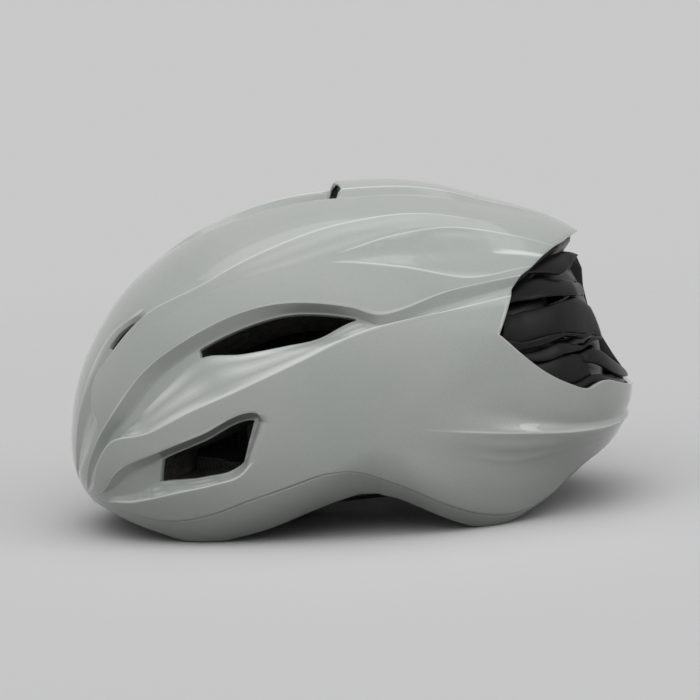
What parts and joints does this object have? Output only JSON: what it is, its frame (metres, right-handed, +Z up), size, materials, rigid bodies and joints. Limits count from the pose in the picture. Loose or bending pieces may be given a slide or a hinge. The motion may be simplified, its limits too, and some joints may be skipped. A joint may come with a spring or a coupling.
{
  "type": "road bike helmet",
  "caption": "Aero road helmet with smooth pearl shell, side and cheek vents, top duct, black louvred rear outlet, chin straps with buckle and rear fit dial.",
  "frame": {"origin": "middle of the bounding box in plan, on the plane that the rim stands on", "axes": "-X towards the helmet's front, -Y to the wearer's left, +Z up"},
  "size_m": [0.2812, 0.204, 0.1649],
  "materials": {
    "pearl_shell": "pearl gloss clear coat",
    "lower_skin": "gloss clear coat",
    "eps_foam": "moulded bead foam",
    "outlet_black": "satin gloss moulding",
    "pad_fabric": "knitted cover over foam",
    "hook_tape": "hook tape",
    "webbing": "woven polyester",
    "nylon_black": "fine grained nylon",
    "acetal_black": "smooth acetal",
    "grip_rubber": "matt soft rubber",
    "spring_steel": "stamped spring steel"
  },
  "bodies": {
    "helmet": {"outer_shell": "pearl_shell", "lower_shell": "lower_skin", "foam_liner": "eps_foam", "rear_outlet": "outlet_black", "brow_pad": "pad_fabric", "crown_pad_left": "pad_fabric", "crown_pad_right": "pad_fabric", "top_pad": "pad_fabric", "pad_hooks": "hook_tape", "strap_anchor_front_left": "nylon_black", "strap_anchor_front_right": "nylon_black", "strap_anchor_rear_left": "nylon_black", "strap_anchor_rear_right": "nylon_black", "temple_post_left": "nylon_black", "temple_post_right": "nylon_black", "height_ladder": "nylon_black"},
    "strap_left": {"front_webbing_left": "webbing", "rear_webbing_left": "webbing", "chin_webbing_left": "webbing", "divider_left": "nylon_black", "strap_keeper": "nylon_black", "buckle_socket": "nylon_black"},
    "cam_left": {"cam_lever_left": "nylon_black"},
    "strap_right": {"front_webbing_right": "webbing", "rear_webbing_right": "webbing", "chin_webbing_right": "webbing", "divider_right": "nylon_black", "buckle_plug": "nylon_black"},
    "cam_right": {"cam_lever_right": "nylon_black"},
    "prong_inner": {"buckle_prong_inner": "acetal_black"},
    "prong_outer": {"buckle_prong_outer": "acetal_black"},
    "temple_left": {"temple_clip_left": "nylon_black"},
    "temple_right": {"temple_clip_right": "nylon_black"},
    "arm_left": {"belt_arm_left": "nylon_black"},
    "arm_right": {"belt_arm_right": "nylon_black"},
    "cradle": {"height_stem": "nylon_black", "dial_housing": "nylon_black", "housing_cover": "nylon_black", "detent_spring": "spring_steel", "nape_pad": "pad_fabric"},
    "pull_left": {"rack_left": "acetal_black"},
    "pull_right": {"rack_right": "acetal_black"},
    "dial": {"dial_knob": "nylon_black", "dial_grip": "grip_rubber", "dial_pinion": "acetal_black", "axle_screw": "spring_steel"}
  },
  "joints": [
    {"name": "strap_swing_left", "type": "hinge", "parent": "helmet", "child": "strap_left", "pos_m": [-0.0005, -0.061, 0.0156], "axis": [-1, 0, 0], "range_deg": [0, 72]},
    {"name": "strap_swing_right", "type": "hinge", "parent": "helmet", "child": "strap_right", "pos_m": [-0.0005, 0.061, 0.0156], "axis": [1, 0, 0], "range_deg": [0, 72]},
    {"name": "cam_left_lift", "type": "hinge", "parent": "strap_left", "child": "cam_left", "pos_m": [-0.0335, -0.00798, 0.00953], "axis": [-1, 0, 0], "range_deg": [0, 80]},
    {"name": "cam_right_lift", "type": "hinge", "parent": "strap_right", "child": "cam_right", "pos_m": [-0.0335, 0.00798, 0.00953], "axis": [1, 0, 0], "range_deg": [0, 80]},
    {"name": "prong_inner_flex", "type": "hinge", "parent": "strap_right", "child": "prong_inner", "pos_m": [-0.08865, 0.00733, 0.00532], "axis": [0, 0.2283, -0.9736], "range_deg": [0, 6], "stiffness_Nm_per_rad": 0.002},
    {"name": "prong_outer_flex", "type": "hinge", "parent": "strap_right", "child": "prong_outer", "pos_m": [-0.08865, 0.0196, 0.0082], "axis": [0, -0.2283, 0.9736], "range_deg": [0, 6], "stiffness_Nm_per_rad": 0.002},
    {"name": "height_slide", "type": "slide", "parent": "helmet", "child": "cradle", "axis": [0, 0, -1], "range_m": [0, 0.008]},
    {"name": "temple_pitch_left", "type": "hinge", "parent": "helmet", "child": "temple_left", "pos_m": [-0.0515, -0.063, 0.0506], "axis": [0, 1, 0], "range_deg": [0, 3.5]},
    {"name": "temple_pitch_right", "type": "hinge", "parent": "helmet", "child": "temple_right", "pos_m": [-0.0515, 0.063, 0.0506], "axis": [0, 1, 0], "range_deg": [0, 3.5]},
    {"name": "dial_turn", "type": "hinge", "parent": "cradle", "child": "dial", "pos_m": [0.0975, 0, 0.0196], "axis": [-1, 0, 0], "range_deg": [0, 120]},
    {"name": "rack_left_draw", "type": "slide", "parent": "cradle", "child": "pull_left", "axis": [0, 1, 0], "range_m": [0, 0.009]},
    {"name": "rack_right_draw", "type": "slide", "parent": "cradle", "child": "pull_right", "axis": [0, -1, 0], "range_m": [0, 0.009]},
    {"name": "belt_yaw_left", "type": "hinge", "parent": "temple_left", "child": "arm_left", "pos_m": [-0.043, -0.0629, 0.0506], "axis": [0, 0, 1], "range_deg": [0, 3.9]},
    {"name": "belt_yaw_right", "type": "hinge", "parent": "temple_right", "child": "arm_right", "pos_m": [-0.043, 0.0629, 0.0506], "axis": [0, 0, -1], "range_deg": [0, 3.9]}
  ],
  "couplings": [
    {"joint": "temple_pitch_left", "follows": "height_slide", "rad_per_m": 7.2},
    {"joint": "temple_pitch_right", "follows": "height_slide", "rad_per_m": 7.2},
    {"joint": "rack_left_draw", "follows": "dial_turn", "m_per_rad": 0.004},
    {"joint": "rack_right_draw", "follows": "dial_turn", "m_per_rad": 0.004},
    {"joint": "belt_yaw_left", "follows": "dial_turn", "ratio": 0.0306},
    {"joint": "belt_yaw_right", "follows": "dial_turn", "ratio": 0.0306}
  ]
}
